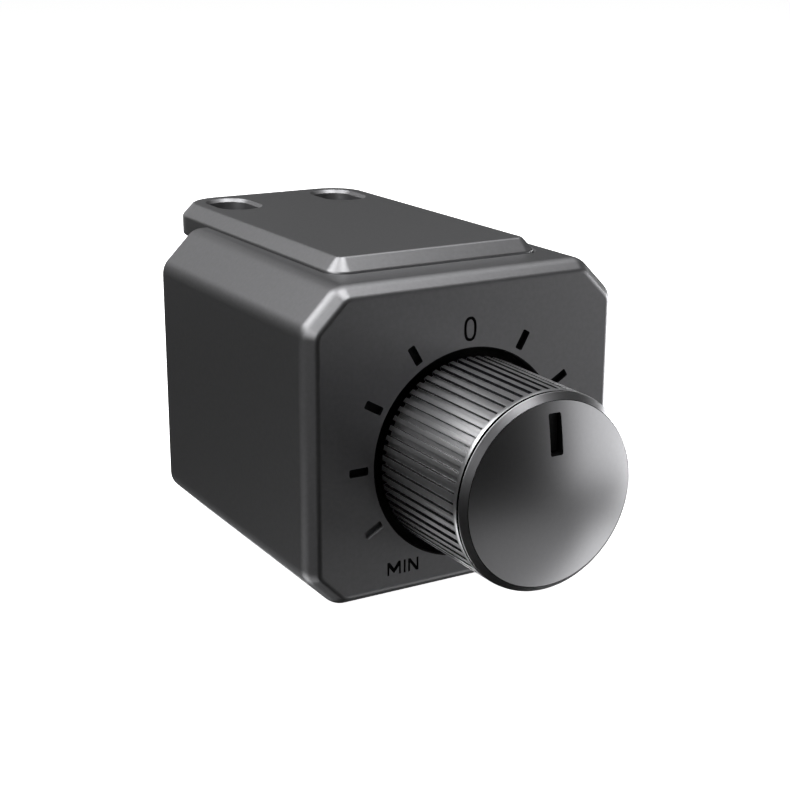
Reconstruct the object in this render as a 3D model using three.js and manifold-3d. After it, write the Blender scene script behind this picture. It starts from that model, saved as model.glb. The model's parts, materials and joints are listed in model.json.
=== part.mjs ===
// Trailer brake controller unit: an under-dash control box with a mounting plate on top
// and one large fluted knob that turns (gain) and presses in (manual override).
//
// Units are millimetres, +Z is up, +X is right as the driver sees the knob, and +Y points
// away from the driver. The parts are laid out in a working frame whose Y = 0 is the front
// face and whose Z = 0 is the middle of the housing's height. The exported group shifts
// that frame so that the origin lies on the mounting plate's top face, midway between the
// two mounting slots.

import * as THREE from 'three';
import { mergeVertices } from 'three/addons/utils/BufferGeometryUtils.js';
import Module from 'manifold-3d';

const wasm = await Module();
wasm.setup();

// ---------------------------------------------------------------- driving dimensions

const FIT_GAP = 0.3; // gap left between pieces that touch on the real object

// Housing: a moulded cup with an eight-sided section, open at the back.
const HOUSING_WIDTH = 40;
const HOUSING_HEIGHT = 36;
const HOUSING_DEPTH = 39.4;
const TOP_CHAMFER = 4.3; // legs of the chamfers along the four long edges
const BOTTOM_CHAMFER = 3.8;
const EDGE_ROUNDING = 2.6;
const FRONT_BEVEL_INSET = 1.2;
const FRONT_BEVEL_DEPTH = 1.5;
const WALL = 2.4;
const FRONT_WALL = 3.5;
const REAR_RIM_WALL = 1.0; // wall left beside the rear cover
const SMALLEST_ROUNDING = 0.2;

// Dial on the front face.
const DIAL_Z = -2.4; // height of the knob's axis
const RECESS_RADIUS = 12;
const RECESS_DEPTH = 2.0;
const TICK_INNER_RADIUS = 12.8;
const TICK_OUTER_RADIUS = 15.1;
const TICK_WIDTH = 0.95;
const TICK_DEPTH = 0.5;
const TICK_ANGLES_DEG = [-120, -90, -60, -30, 30, 60, 90, 120];

// Mounting plate: let into the housing's top, and overhanging it at the back.
const PLATE_WIDTH = 27;
const PLATE_FRONT_Y = 6.2;
const PLATE_BACK_Y = 52.6;
const PLATE_THICKNESS = 4.0;
const PLATE_RISE = 1.6; // how far it stands above the housing's top face
const PLATE_FRONT_CORNER = 2.2;
const PLATE_REAR_CORNER = 5.8;
const PLATE_BEVEL_INSET = 1.4;
const PLATE_BEVEL_HEIGHT = 1.5;
const SLOT_X = 7.6;
const SLOT_Y = 44.9;
const SLOT_WIDTH = 5.2;
const SLOT_LENGTH = 8.4;
const SLOT_CHAMFER = 0.55;
const PLATE_SEAT_THICKNESS = 2.0; // housing material under the plate's pocket
const PLATE_SCREW_Y = [13, 27];
const PLATE_SCREW_HOLE_RADIUS = 1.5;
const PLATE_SCREW_HOLE_DEPTH = 2.8;
const PLATE_SCREW_LENGTH = 5.2;

// Knob.
const KNOB_RADIUS = 10.9;
const KNOB_FACE_RADIUS = 10.15;
const KNOB_LENGTH = 15.7; // from the front face to the rim of the knob's face
const KNOB_BEVEL_DEPTH = 0.7;
const KNOB_DOME_HEIGHT = 1.2;
const KNOB_SKIRT = 0.4; // how far the knob reaches into the recess
const FLUTE_COUNT = 60;
const FLUTE_DEPTH = 0.35;
const FLUTE_WIDTH = 0.58;
const FLUTE_FRONT_Y = -14.1;
const FLUTE_BACK_Y = -0.6;
const POINTER_WIDTH = 1.55;
const POINTER_INNER_RADIUS = 4.5;
const POINTER_OUTER_RADIUS = 8.9;
const POINTER_DEPTH = 0.9;
const INLAY_THICKNESS = 0.45;
const INLAY_GAP = 0.1;
const KNOB_CAVITY_RADIUS = 8.5;
const HUB_BORE_RADIUS = 5;
const HUB_FRONT_Y = -13.2;
const HUB_BACK_Y = -6;
const CAP_SPIGOT_RADIUS = 8;
const CAP_SPIGOT_BACK_Y = -14.4;
const CLIP_WIDTH = 2.8;
const CLIP_THICKNESS = 0.3;

// Potentiometer, with a shaft that turns its rotor and slides through it.
const SHAFT_RADIUS = 3.0;
const SHAFT_FLAT = 2.1; // distance from the axis to the flat of the D
const RUNNING_CLEARANCE = 0.1;
const SHAFT_FRONT_Y = -12.4;
const SHAFT_BACK_Y = 12.2;
const BUSHING_RADIUS = 3.5;
const BUSHING_FRONT_Y = -1.3;
const POT_SIDE = 16;
const POT_CAVITY_RADIUS = 7;
const POT_FRONT_Y = FRONT_WALL + FIT_GAP;
const POT_BACK_Y = 10.3;
const POT_WALL = 1.2;
const POT_COVER_THICKNESS = 1.0;
const POT_TERMINAL_X = [-5, 0, 5];
const POT_TERMINAL_SIZE = [1.0, 0.4]; // across, and thick
const TRACK_RADII = [4.4, 6.3];
const TRACK_THICKNESS = 0.4;
const ROTOR_THICKNESS = 2.2;
const ROTOR_FRONT_Y = POT_FRONT_Y + 1.6;
const ROTOR_BACK_Y = ROTOR_FRONT_Y + ROTOR_THICKNESS;
const WASHER_RADIUS = 6.2;
const WASHER_THICKNESS = 0.5;
const NUT_RADIUS = 5.8; // to its corners
const NUT_THICKNESS = 2.0;

// Return spring and the switch behind the shaft.
const SPRING_RADIUS = 4.4;
const SPRING_WIRE = 0.5;
const SPRING_TURNS = 3.5;
const SPRING_BACK_Y = -1.4;
const SWITCH_FRONT_Y = 13.9;
const SWITCH_SIDE = 7;
const PLUNGER_FRONT_Y = SHAFT_BACK_Y + FIT_GAP;
const PLUNGER_RADIUS = 1.7;
const PLUNGER_LENGTH = 2.6;

// Circuit board, rear cover and connector.
const BOARD_HALF_WIDTH = 15.8;
const BOARD_BOTTOM_Z = -13.8;
const BOARD_TOP_Z = 12.2;
const BOARD_FRONT_Y = 17.5;
const BOARD_THICKNESS = 1.6;
const BOARD_SCREW_X = 14.2;
const BOARD_SCREW_Z = [-12.1, 10.5];
const BOARD_PILLAR_RADIUS = 2.2;
const COVER_PILLAR_RADIUS = 2.6;
const COVER_PILLAR_FRONT_Y = 26;
const PILOT_RADIUS = 1.3;
const PILOT_DEPTH = 7;
const COVER_SEAT_RADIUS = 2.3; // sunk seats for the cover screws' heads
const COVER_SEAT_DEPTH = 1.3;
const COVER_THICKNESS = 2.0;
const GASKET_THICKNESS = 0.8;
const COVER_SCREW_X = 15.2;
const COVER_SCREW_Z = [-13.2, 10.9];
const CONNECTOR_WIDTH = 15.4;
const CONNECTOR_HEIGHT = 8.4;
const CONNECTOR_Z = -8;
const CONNECTOR_BACK_Y = 41;
const CONNECTOR_WALL = 1.2;
const CONNECTOR_CAVITY_Y = 28;
const KEYWAY_WIDTH = 3;
const KEYWAY_LENGTH = 4;
const PIN_COUNT = 4;
const PIN_PITCH = 3.0;
const PIN_SIZE = 0.64;
const PIN_BACK_Y = 35.0;
const PIN_TIP = 0.8;

// Worked out from the above.
const HALF_WIDTH = HOUSING_WIDTH / 2;
const HALF_HEIGHT = HOUSING_HEIGHT / 2;
const PLATE_TOP_Z = HALF_HEIGHT + PLATE_RISE;
const PLATE_BOTTOM_Z = PLATE_TOP_Z - PLATE_THICKNESS;
const POCKET_FLOOR_Z = PLATE_BOTTOM_Z - FIT_GAP;
const CAVITY_TOP_Z = POCKET_FLOOR_Z - PLATE_SEAT_THICKNESS;
const REBATE_TOP_Z = POCKET_FLOOR_Z - REAR_RIM_WALL;
const COVER_FRONT_Y = HOUSING_DEPTH - COVER_THICKNESS;
const GASKET_FRONT_Y = COVER_FRONT_Y - FIT_GAP - GASKET_THICKNESS;
const REBATE_Y = GASKET_FRONT_Y - FIT_GAP;
const BOARD_BACK_Y = BOARD_FRONT_Y + BOARD_THICKNESS;
const PARTS_FRONT_Y = BOARD_BACK_Y + FIT_GAP; // where the board's rear components begin
const CAP_BACK_Y = -KNOB_LENGTH + KNOB_BEVEL_DEPTH;
const BARREL_FRONT_Y = CAP_BACK_Y + FIT_GAP;
const WASHER_FRONT_Y = RECESS_DEPTH - FIT_GAP - WASHER_THICKNESS;

// ---------------------------------------------------------------- materials

const finish = (color, roughness, metalness) => ({ color, roughness, metalness });
const SATIN_PLASTIC = finish(0x3c3c3f, 0.5, 0);
const COATED_METAL = finish(0x47474a, 0.42, 0.5);
const KNOB_METAL = finish(0x8c8c90, 0.32, 0.9);
const BLACK_PLASTIC = finish(0x0c0c0d, 0.5, 0);
const STEEL = finish(0xa8aaad, 0.35, 1);
const BLACK_STEEL = finish(0x1c1d1f, 0.4, 0.8);
const BRASS = finish(0xb08d4a, 0.35, 1);
const RUBBER = finish(0x131313, 0.85, 0);
const BOARD_GREEN = finish(0x1d5a35, 0.5, 0);
const CARBON_TRACK = finish(0x1a1a1a, 0.7, 0);
const ALUMINIUM = finish(0xb9bcc0, 0.3, 1);

// ---------------------------------------------------------------- solid modelling helpers

// A three.js geometry as a manifold solid, without the slivers of zero area that a lathe
// leaves on its axis.
function solid(geometry) {
  const bare = geometry.clone();
  bare.deleteAttribute('normal');
  bare.deleteAttribute('uv');
  const merged = mergeVertices(bare, 1e-5);
  const index = merged.index.array;
  const faces = [];
  for (let i = 0; i < index.length; i += 3) {
    const [a, b, c] = [index[i], index[i + 1], index[i + 2]];
    if (a !== b && b !== c && c !== a) faces.push(a, b, c);
  }
  return new wasm.Manifold(new wasm.Mesh({
    numProp: 3,
    vertProperties: new Float32Array(merged.attributes.position.array),
    triVerts: new Uint32Array(faces),
  }));
}

function geometryOf(manifold) {
  const { vertProperties, triVerts } = manifold.getMesh();
  const geometry = new THREE.BufferGeometry();
  geometry.setAttribute('position', new THREE.BufferAttribute(new Float32Array(vertProperties), 3));
  geometry.setIndex(new THREE.BufferAttribute(new Uint32Array(triVerts), 1));
  geometry.computeVertexNormals();
  return geometry;
}

const join = (first, ...others) => others.reduce((sum, other) => sum.add(other), first);
const cut = (first, ...tools) => tools.reduce((rest, tool) => rest.subtract(tool), first);

// A box between two corners.
function block([x0, y0, z0], [x1, y1, z1]) {
  const geometry = new THREE.BoxGeometry(x1 - x0, y1 - y0, z1 - z0);
  return solid(geometry.translate((x0 + x1) / 2, (y0 + y1) / 2, (z0 + z1) / 2));
}

// A body turned about the line through (x, z) along Y, from a closed profile of [radius, y]
// points that runs outwards at its low-Y end.
function turned(profile, segments = 32, x = 0, z = DIAL_Z) {
  const points = [...profile, profile[0]].map(([radius, y]) => new THREE.Vector2(radius, y));
  return solid(new THREE.LatheGeometry(points, segments).translate(x, 0, z));
}

// A rod along Y.
const rod = (radius, y0, y1, segments = 24, x = 0, z = DIAL_Z) =>
  turned([[0, y0], [radius, y0], [radius, y1], [0, y1]], segments, x, z);

// A washer or tube along Y.
const ring = (inner, outer, y0, y1, segments = 24) =>
  turned([[inner, y0], [outer, y0], [outer, y1], [inner, y1]], segments);

// An outline in the XZ plane, extruded along Y.
function prism(shape, y0, y1, curveSegments = 3) {
  const options = { depth: y1 - y0, bevelEnabled: false, curveSegments };
  return solid(new THREE.ExtrudeGeometry(shape, options).rotateX(Math.PI / 2).translate(0, y1, 0));
}

// A polygon whose corners are rounded, all by one radius or each by its own.
function roundedPolygon(corners, radii) {
  const points = corners.map(([x, y]) => new THREE.Vector2(x, y));
  const radiusAt = (i) => (Array.isArray(radii) ? radii[i] : radii);
  const shape = new THREE.Shape();
  points.forEach((corner, i) => {
    const before = points[(i + points.length - 1) % points.length];
    const after = points[(i + 1) % points.length];
    const incoming = before.clone().sub(corner).normalize();
    const outgoing = after.clone().sub(corner).normalize();
    const halfAngle = Math.acos(incoming.dot(outgoing)) / 2;
    const trim = radiusAt(i) / Math.tan(halfAngle);
    const start = corner.clone().addScaledVector(incoming, trim);
    const end = corner.clone().addScaledVector(outgoing, trim);
    if (i === 0) shape.moveTo(start.x, start.y);
    else shape.lineTo(start.x, start.y);
    shape.quadraticCurveTo(corner.x, corner.y, end.x, end.y);
  });
  shape.closePath();
  return shape;
}

const rectangle = (halfWidth, halfHeight) =>
  [[-halfWidth, -halfHeight], [halfWidth, -halfHeight], [halfWidth, halfHeight], [-halfWidth, halfHeight]];

// The housing's eight-sided section, moved inwards by inset, with its top cut at topZ.
function housingOutline(inset, topZ = HALF_HEIGHT - inset) {
  const halfWidth = HALF_WIDTH - inset;
  const bottomZ = -HALF_HEIGHT + inset;
  const shrink = inset * (2 - Math.SQRT2);
  const bottomLeg = BOTTOM_CHAMFER - shrink;
  const shoulderZ = HALF_HEIGHT - inset - (TOP_CHAMFER - shrink);
  const topLeg = topZ - shoulderZ;
  const right = [
    [halfWidth - bottomLeg, bottomZ], [halfWidth, bottomZ + bottomLeg],
    [halfWidth, shoulderZ], [halfWidth - topLeg, topZ],
  ];
  const left = right.map(([x, z]) => [-x, z]).reverse();
  return roundedPolygon([...right, ...left], Math.max(EDGE_ROUNDING - inset, SMALLEST_ROUNDING));
}

// The section of a round shaft of the given radius with one flat towards +Z.
function dShape(radius, flat, segments = 20) {
  const halfOpening = Math.acos(flat / radius);
  const shape = new THREE.Shape();
  for (let i = 0; i <= segments; i++) {
    const angle = Math.PI / 2 + halfOpening + ((2 * Math.PI - 2 * halfOpening) * i) / segments;
    const [x, z] = [radius * Math.cos(angle), radius * Math.sin(angle)];
    if (i === 0) shape.moveTo(x, z);
    else shape.lineTo(x, z);
  }
  shape.closePath();
  return shape;
}

const dRod = (radius, flat, y0, y1) => prism(dShape(radius, flat), y0, y1).translate([0, 0, DIAL_Z]);

// ---------------------------------------------------------------- the exported group

const unit = new THREE.Group();
unit.position.set(0, -SLOT_Y, -PLATE_TOP_Z);

function add(name, shape, look) {
  const mesh = new THREE.Mesh(geometryOf(shape), new THREE.MeshStandardMaterial(look));
  mesh.name = name;
  unit.add(mesh);
}

// ---------------------------------------------------------------- housing and mounting plate

// The outer form: the full section, bevelled towards the smaller front face.
function housingBlank() {
  const options = {
    depth: HOUSING_DEPTH,
    bevelThickness: FRONT_BEVEL_DEPTH,
    bevelSize: FRONT_BEVEL_INSET,
    bevelSegments: 1,
    curveSegments: 3,
  };
  const geometry = new THREE.ExtrudeGeometry(housingOutline(FRONT_BEVEL_INSET), options);
  geometry.rotateX(Math.PI / 2).translate(0, FRONT_BEVEL_DEPTH + HOUSING_DEPTH, 0);
  const reach = HOUSING_WIDTH;
  return cut(solid(geometry), block([-reach, HOUSING_DEPTH, -reach], [reach, 2 * HOUSING_DEPTH, reach]));
}

// One engraved tick, pointing away from the dial's centre.
function tickCutter(angleDeg) {
  const [inner, outer] = [TICK_INNER_RADIUS, TICK_OUTER_RADIUS];
  const geometry = new THREE.BoxGeometry(TICK_WIDTH, 2 * TICK_DEPTH, outer - inner);
  geometry.translate(0, 0, (inner + outer) / 2);
  geometry.rotateY(THREE.MathUtils.degToRad(angleDeg)).translate(0, 0, DIAL_Z);
  return solid(geometry);
}

// A pillar for a screw, with its pilot hole opening at the back.
const pillar = (x, z, radius, y0, y1) => rod(radius, y0, y1, 16, x, z);
const pilotHole = (x, z, y0, y1) => rod(PILOT_RADIUS, y0, y1, 12, x, z);

function screwPlaces(x, heights) {
  return heights.flatMap((z) => [[-x, z], [x, z]]);
}

function housingShell() {
  const boardPlaces = screwPlaces(BOARD_SCREW_X, BOARD_SCREW_Z);
  const coverPlaces = screwPlaces(COVER_SCREW_X, COVER_SCREW_Z);
  const cavity = prism(housingOutline(WALL, CAVITY_TOP_Z), FRONT_WALL, HOUSING_DEPTH + 1);
  const rebate = prism(housingOutline(REAR_RIM_WALL, REBATE_TOP_Z), REBATE_Y, HOUSING_DEPTH + 1);
  const pocketCutter = extrudeUp(plateOutline(-FIT_GAP), POCKET_FLOOR_Z, HALF_HEIGHT + 1);
  const [boardPillarBack, boardPilotFront] = [BOARD_FRONT_Y - FIT_GAP, BOARD_FRONT_Y - PILOT_DEPTH];
  let shell = cut(housingBlank(), cavity, rebate, pocketCutter);
  shell = join(shell,
    ...boardPlaces.map(([x, z]) => pillar(x, z, BOARD_PILLAR_RADIUS, FRONT_WALL - 1, boardPillarBack)),
    ...coverPlaces.map(([x, z]) => pillar(x, z, COVER_PILLAR_RADIUS, COVER_PILLAR_FRONT_Y, REBATE_Y)));
  return cut(shell,
    rod(RECESS_RADIUS, -1, RECESS_DEPTH, 64),
    rod(BUSHING_RADIUS + FIT_GAP, -1, FRONT_WALL + 1, 24),
    ...TICK_ANGLES_DEG.map(tickCutter),
    ...boardPlaces.map(([x, z]) => pilotHole(x, z, boardPilotFront, BOARD_FRONT_Y)),
    ...coverPlaces.map(([x, z]) => pilotHole(x, z, REBATE_Y - PILOT_DEPTH, REBATE_Y + 1)),
    ...PLATE_SCREW_Y.map((y) =>
      uprightRod(PLATE_SCREW_HOLE_RADIUS, CAVITY_TOP_Z - 1, POCKET_FLOOR_Z + 1, y)));
}

// An outline in the XY plane, extruded up from z0 to z1.
function extrudeUp(shape, z0, z1, curveSegments = 4) {
  const options = { depth: z1 - z0, bevelEnabled: false, curveSegments };
  return solid(new THREE.ExtrudeGeometry(shape, options).translate(0, 0, z0));
}

function uprightRod(radius, z0, z1, y, segments = 16) {
  const geometry = new THREE.CylinderGeometry(radius, radius, z1 - z0, segments);
  return solid(geometry.rotateX(Math.PI / 2).translate(0, y, (z0 + z1) / 2));
}

// The plate's outline from above, moved inwards by inset.
function plateOutline(inset) {
  const halfWidth = PLATE_WIDTH / 2 - inset;
  const [frontY, backY] = [PLATE_FRONT_Y + inset, PLATE_BACK_Y - inset];
  const [front, rear] = [PLATE_FRONT_CORNER - inset, PLATE_REAR_CORNER - inset];
  const corners = [[-halfWidth, frontY], [halfWidth, frontY], [halfWidth, backY], [-halfWidth, backY]];
  return roundedPolygon(corners, [front, front, rear, rear]);
}

function slotOutline(width, length) {
  const straight = (length - width) / 2;
  const shape = new THREE.Shape();
  shape.absarc(0, straight, width / 2, 0, Math.PI, false);
  shape.absarc(0, -straight, width / 2, Math.PI, 2 * Math.PI, false);
  shape.closePath();
  return shape;
}

// A mounting slot, through the plate, with its upper edge chamfered.
function slotCutter(x) {
  const options = {
    depth: PLATE_THICKNESS,
    bevelThickness: 2 * SLOT_CHAMFER,
    bevelSize: 2 * SLOT_CHAMFER,
    bevelSegments: 1,
    curveSegments: 8,
  };
  const throat = extrudeUp(slotOutline(SLOT_WIDTH, SLOT_LENGTH), PLATE_BOTTOM_Z - 1, PLATE_TOP_Z + 1, 8);
  const mouth = new THREE.ExtrudeGeometry(slotOutline(SLOT_WIDTH, SLOT_LENGTH), options);
  mouth.translate(0, 0, PLATE_TOP_Z + SLOT_CHAMFER);
  return join(throat, solid(mouth)).translate([x, SLOT_Y, 0]);
}

function mountingPlate() {
  const options = {
    depth: PLATE_THICKNESS,
    bevelThickness: PLATE_BEVEL_HEIGHT,
    bevelSize: PLATE_BEVEL_INSET,
    bevelSegments: 1,
    curveSegments: 5,
  };
  const blank = new THREE.ExtrudeGeometry(plateOutline(PLATE_BEVEL_INSET), options);
  blank.translate(0, 0, PLATE_TOP_Z - PLATE_BEVEL_HEIGHT - PLATE_THICKNESS);
  const reach = 2 * PLATE_BACK_Y;
  const below = block([-reach, -reach, PLATE_BOTTOM_Z - reach], [reach, reach, PLATE_BOTTOM_Z]);
  return cut(solid(blank), below, slotCutter(-SLOT_X), slotCutter(SLOT_X),
    ...PLATE_SCREW_Y.map((y) => uprightRod(
      PLATE_SCREW_HOLE_RADIUS, PLATE_BOTTOM_Z - 1, PLATE_BOTTOM_Z + PLATE_SCREW_HOLE_DEPTH, y)));
}

// A pan-head screw along Y, its head towards +Y and starting at headY, with a cross recess.
function screwAlongY(x, z, headY, { shankRadius = 1, shankLength = 7 } = {}) {
  const headRadius = 1.9;
  const top = headY + 1;
  const profile = [
    [0, headY - shankLength], [shankRadius * 0.6, headY - shankLength],
    [shankRadius, headY - shankLength + 0.8], [shankRadius, headY],
    [headRadius, headY], [headRadius, top - 0.3], [headRadius - 0.4, top], [0, top],
  ];
  const [long, narrow] = [headRadius * 0.6, headRadius * 0.16];
  return cut(turned(profile, 12, x, z),
    block([x - long, top - 0.5, z - narrow], [x + long, top + 1, z + narrow]),
    block([x - narrow, top - 0.5, z - long], [x + narrow, top + 1, z + long]));
}

// The same screw, pointing up from inside the housing into the mounting plate.
function plateScrew(y) {
  const headTop = CAVITY_TOP_Z - FIT_GAP;
  const screw = screwAlongY(0, 0, 0, { shankRadius: 1.2, shankLength: PLATE_SCREW_LENGTH });
  return screw.rotate([-90, 0, 0]).translate([0, y, headTop]);
}

// ---------------------------------------------------------------- rear cover, gasket, connector

function connectorOutline(grow) {
  const corners = rectangle(CONNECTOR_WIDTH / 2 + grow, CONNECTOR_HEIGHT / 2 + grow);
  return roundedPolygon(corners.map(([x, z]) => [x, z + CONNECTOR_Z]), 0.8);
}

function rearCover() {
  const outline = housingOutline(REAR_RIM_WALL + FIT_GAP, REBATE_TOP_Z - FIT_GAP);
  const places = screwPlaces(COVER_SCREW_X, COVER_SCREW_Z);
  return cut(prism(outline, COVER_FRONT_Y, HOUSING_DEPTH),
    prism(connectorOutline(FIT_GAP), COVER_FRONT_Y - 1, HOUSING_DEPTH + 1),
    ...places.map(([x, z]) => rod(PILOT_RADIUS, COVER_FRONT_Y - 1, HOUSING_DEPTH + 1, 12, x, z)),
    ...places.map(([x, z]) => rod(
      COVER_SEAT_RADIUS, HOUSING_DEPTH - COVER_SEAT_DEPTH, HOUSING_DEPTH + 1, 20, x, z)));
}

function coverGasket() {
  const outer = housingOutline(REAR_RIM_WALL + FIT_GAP, REBATE_TOP_Z - FIT_GAP);
  const inner = housingOutline(WALL, CAVITY_TOP_Z);
  return cut(prism(outer, GASKET_FRONT_Y, GASKET_FRONT_Y + GASKET_THICKNESS),
    prism(inner, GASKET_FRONT_Y - 1, GASKET_FRONT_Y + 2));
}

const pinX = (i) => (i - (PIN_COUNT - 1) / 2) * PIN_PITCH;

// A shrouded header: its mouth opens to the back, and it has a keyway along the top.
function connectorSocket() {
  const inner = rectangle(CONNECTOR_WIDTH / 2 - CONNECTOR_WALL, CONNECTOR_HEIGHT / 2 - CONNECTOR_WALL);
  const mouth = roundedPolygon(inner.map(([x, z]) => [x, z + CONNECTOR_Z]), 0.4);
  const topZ = CONNECTOR_Z + CONNECTOR_HEIGHT / 2;
  const bore = PIN_SIZE / 2 + 0.15;
  const pinHoles = Array.from({ length: PIN_COUNT }, (_, i) => block(
    [pinX(i) - bore, PARTS_FRONT_Y - 1, CONNECTOR_Z - bore],
    [pinX(i) + bore, CONNECTOR_CAVITY_Y + 1, CONNECTOR_Z + bore]));
  return cut(prism(connectorOutline(0), PARTS_FRONT_Y, CONNECTOR_BACK_Y),
    prism(mouth, CONNECTOR_CAVITY_Y, CONNECTOR_BACK_Y + 1),
    block([-KEYWAY_WIDTH / 2, CONNECTOR_BACK_Y - KEYWAY_LENGTH, topZ - CONNECTOR_WALL - 0.5],
      [KEYWAY_WIDTH / 2, CONNECTOR_BACK_Y + 1, topZ - CONNECTOR_WALL / 2]),
    ...pinHoles);
}

function contactPin(i) {
  const half = PIN_SIZE / 2;
  const body = block([pinX(i) - half, BOARD_FRONT_Y - 1.2, CONNECTOR_Z - half],
    [pinX(i) + half, PIN_BACK_Y - PIN_TIP, CONNECTOR_Z + half]);
  const point = new THREE.CylinderGeometry(half * 0.5, half * Math.SQRT2, PIN_TIP, 4);
  point.rotateY(Math.PI / 4).translate(pinX(i), PIN_BACK_Y - PIN_TIP / 2, CONNECTOR_Z);
  return join(body, solid(point));
}

// ---------------------------------------------------------------- circuit board

function mainBoard() {
  const corners = [
    [-BOARD_HALF_WIDTH, BOARD_BOTTOM_Z], [BOARD_HALF_WIDTH, BOARD_BOTTOM_Z],
    [BOARD_HALF_WIDTH, BOARD_TOP_Z], [-BOARD_HALF_WIDTH, BOARD_TOP_Z],
  ];
  const bore = PIN_SIZE / 2 + 0.2;
  const pinHoles = Array.from({ length: PIN_COUNT }, (_, i) => block(
    [pinX(i) - bore, BOARD_FRONT_Y - 1, CONNECTOR_Z - bore],
    [pinX(i) + bore, BOARD_BACK_Y + 1, CONNECTOR_Z + bore]));
  return cut(prism(roundedPolygon(corners, 1), BOARD_FRONT_Y, BOARD_BACK_Y),
    ...screwPlaces(BOARD_SCREW_X, BOARD_SCREW_Z)
      .map(([x, z]) => rod(PILOT_RADIUS, BOARD_FRONT_Y - 1, BOARD_BACK_Y + 1, 12, x, z)),
    ...pinHoles);
}

// A chip on the board's rear face: a moulded body on a slightly smaller foot.
function chip(x, z, width, height, thickness) {
  const [halfWidth, halfHeight] = [width / 2, height / 2];
  const edge = 0.25;
  const foot = block([x - halfWidth + edge, PARTS_FRONT_Y, z - halfHeight + edge],
    [x + halfWidth - edge, PARTS_FRONT_Y + thickness, z + halfHeight - edge]);
  const body = block([x - halfWidth, PARTS_FRONT_Y + 0.2, z - halfHeight],
    [x + halfWidth, PARTS_FRONT_Y + thickness - 0.2, z + halfHeight]);
  const pinOneMark = rod(0.4, PARTS_FRONT_Y + thickness - 0.15, PARTS_FRONT_Y + thickness + 1, 10,
    x - halfWidth + 1.1, z + halfHeight - 1.1);
  return cut(join(foot, body), pinOneMark);
}

// A power transistor: a moulded body with its metal tab standing out of one end.
function powerTransistor(x, z) {
  return join(
    block([x - 3.3, PARTS_FRONT_Y, z - 3.1], [x + 3.3, PARTS_FRONT_Y + 2.3, z + 3.1]),
    block([x - 2.7, PARTS_FRONT_Y, z + 3], [x + 2.7, PARTS_FRONT_Y + 0.6, z + 4.3]));
}

// An electrolytic can on its base, with the crimped groove near the foot.
function filterCapacitor(x, z) {
  const [radius, foot, back] = [3.15, PARTS_FRONT_Y, PARTS_FRONT_Y + 7.7];
  const base = block([x - 3.3, foot, z - 3.3], [x + 3.3, foot + 1, z + 3.3]);
  const can = [
    [0, foot + 0.5], [radius, foot + 0.5], [radius, foot + 1.8], [radius - 0.35, foot + 2.1],
    [radius, foot + 2.4], [radius, back - 0.3], [radius - 0.3, back], [0, back],
  ];
  return join(base, turned(can, 24, x, z));
}

// ---------------------------------------------------------------- potentiometer and switch

function potOutline() {
  const corners = rectangle(POT_SIDE / 2, POT_SIDE / 2).map(([x, z]) => [x, z + DIAL_Z]);
  return roundedPolygon(corners, 1);
}

function potCase() {
  const body = prism(potOutline(), POT_FRONT_Y, POT_BACK_Y);
  const bushing = rod(BUSHING_RADIUS, BUSHING_FRONT_Y, POT_FRONT_Y + 1, 24);
  const lowZ = DIAL_Z - POT_SIDE / 2;
  const notchHalf = POT_TERMINAL_SIZE[0] / 2 + FIT_GAP;
  return cut(join(body, bushing),
    rod(POT_CAVITY_RADIUS, POT_FRONT_Y + POT_WALL, POT_BACK_Y + 1, 32),
    rod(SHAFT_RADIUS + RUNNING_CLEARANCE, BUSHING_FRONT_Y - 1, POT_FRONT_Y + POT_WALL + 1, 32),
    ...POT_TERMINAL_X.map((x) => block([x - notchHalf, POT_BACK_Y - 1.4, lowZ - 1],
      [x + notchHalf, POT_BACK_Y + 1, lowZ + POT_WALL])));
}

function potCover() {
  const y0 = POT_BACK_Y + FIT_GAP;
  const y1 = y0 + POT_COVER_THICKNESS;
  return cut(prism(potOutline(), y0, y1), rod(SHAFT_RADIUS + 0.5, y0 - 1, y1 + 1, 24));
}

// The resistive track: most of a ring, open at the bottom.
function resistiveTrack() {
  const full = ring(...TRACK_RADII, POT_BACK_Y - TRACK_THICKNESS, POT_BACK_Y, 36);
  const halfGap = 1.4;
  return cut(full,
    block([-halfGap, POT_BACK_Y - 1, DIAL_Z - POT_SIDE / 2], [halfGap, POT_BACK_Y + 1, DIAL_Z]));
}

// A terminal: from the case down past its lower face, then back to the board.
function potTerminal(x) {
  const [half, thickness] = [POT_TERMINAL_SIZE[0] / 2, POT_TERMINAL_SIZE[1]];
  const y = POT_BACK_Y - 0.9;
  const caseZ = DIAL_Z - POT_SIDE / 2;
  const bendZ = caseZ - 1.2;
  return join(
    block([x - half, y, bendZ], [x + half, y + thickness, caseZ + 0.8]),
    block([x - half, y, bendZ - thickness], [x + half, BOARD_FRONT_Y - FIT_GAP, bendZ]));
}

function potRotor() {
  return cut(rod(POT_CAVITY_RADIUS - 0.4, ROTOR_FRONT_Y, ROTOR_BACK_Y, 32), dRod(
    SHAFT_RADIUS + RUNNING_CLEARANCE, SHAFT_FLAT + RUNNING_CLEARANCE, ROTOR_FRONT_Y - 1, ROTOR_BACK_Y + 1));
}

// The wiper: a leaf on the rotor's back with a finger that reaches over the track.
function wiper() {
  const leafY = ROTOR_BACK_Y + FIT_GAP;
  const tipY = POT_BACK_Y - TRACK_THICKNESS - FIT_GAP;
  return join(
    block([-2.2, leafY, DIAL_Z + 3.8], [2.2, leafY + 0.3, DIAL_Z + 5.8]),
    block([-0.6, leafY, DIAL_Z + 4.6], [0.6, tipY, DIAL_Z + 5.2]));
}

const potShaft = () => join(
  dRod(SHAFT_RADIUS, SHAFT_FLAT, SHAFT_FRONT_Y, SHAFT_BACK_Y - 1),
  rod(SHAFT_FLAT - 0.5, SHAFT_BACK_Y - 1.5, SHAFT_BACK_Y, 20));

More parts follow.
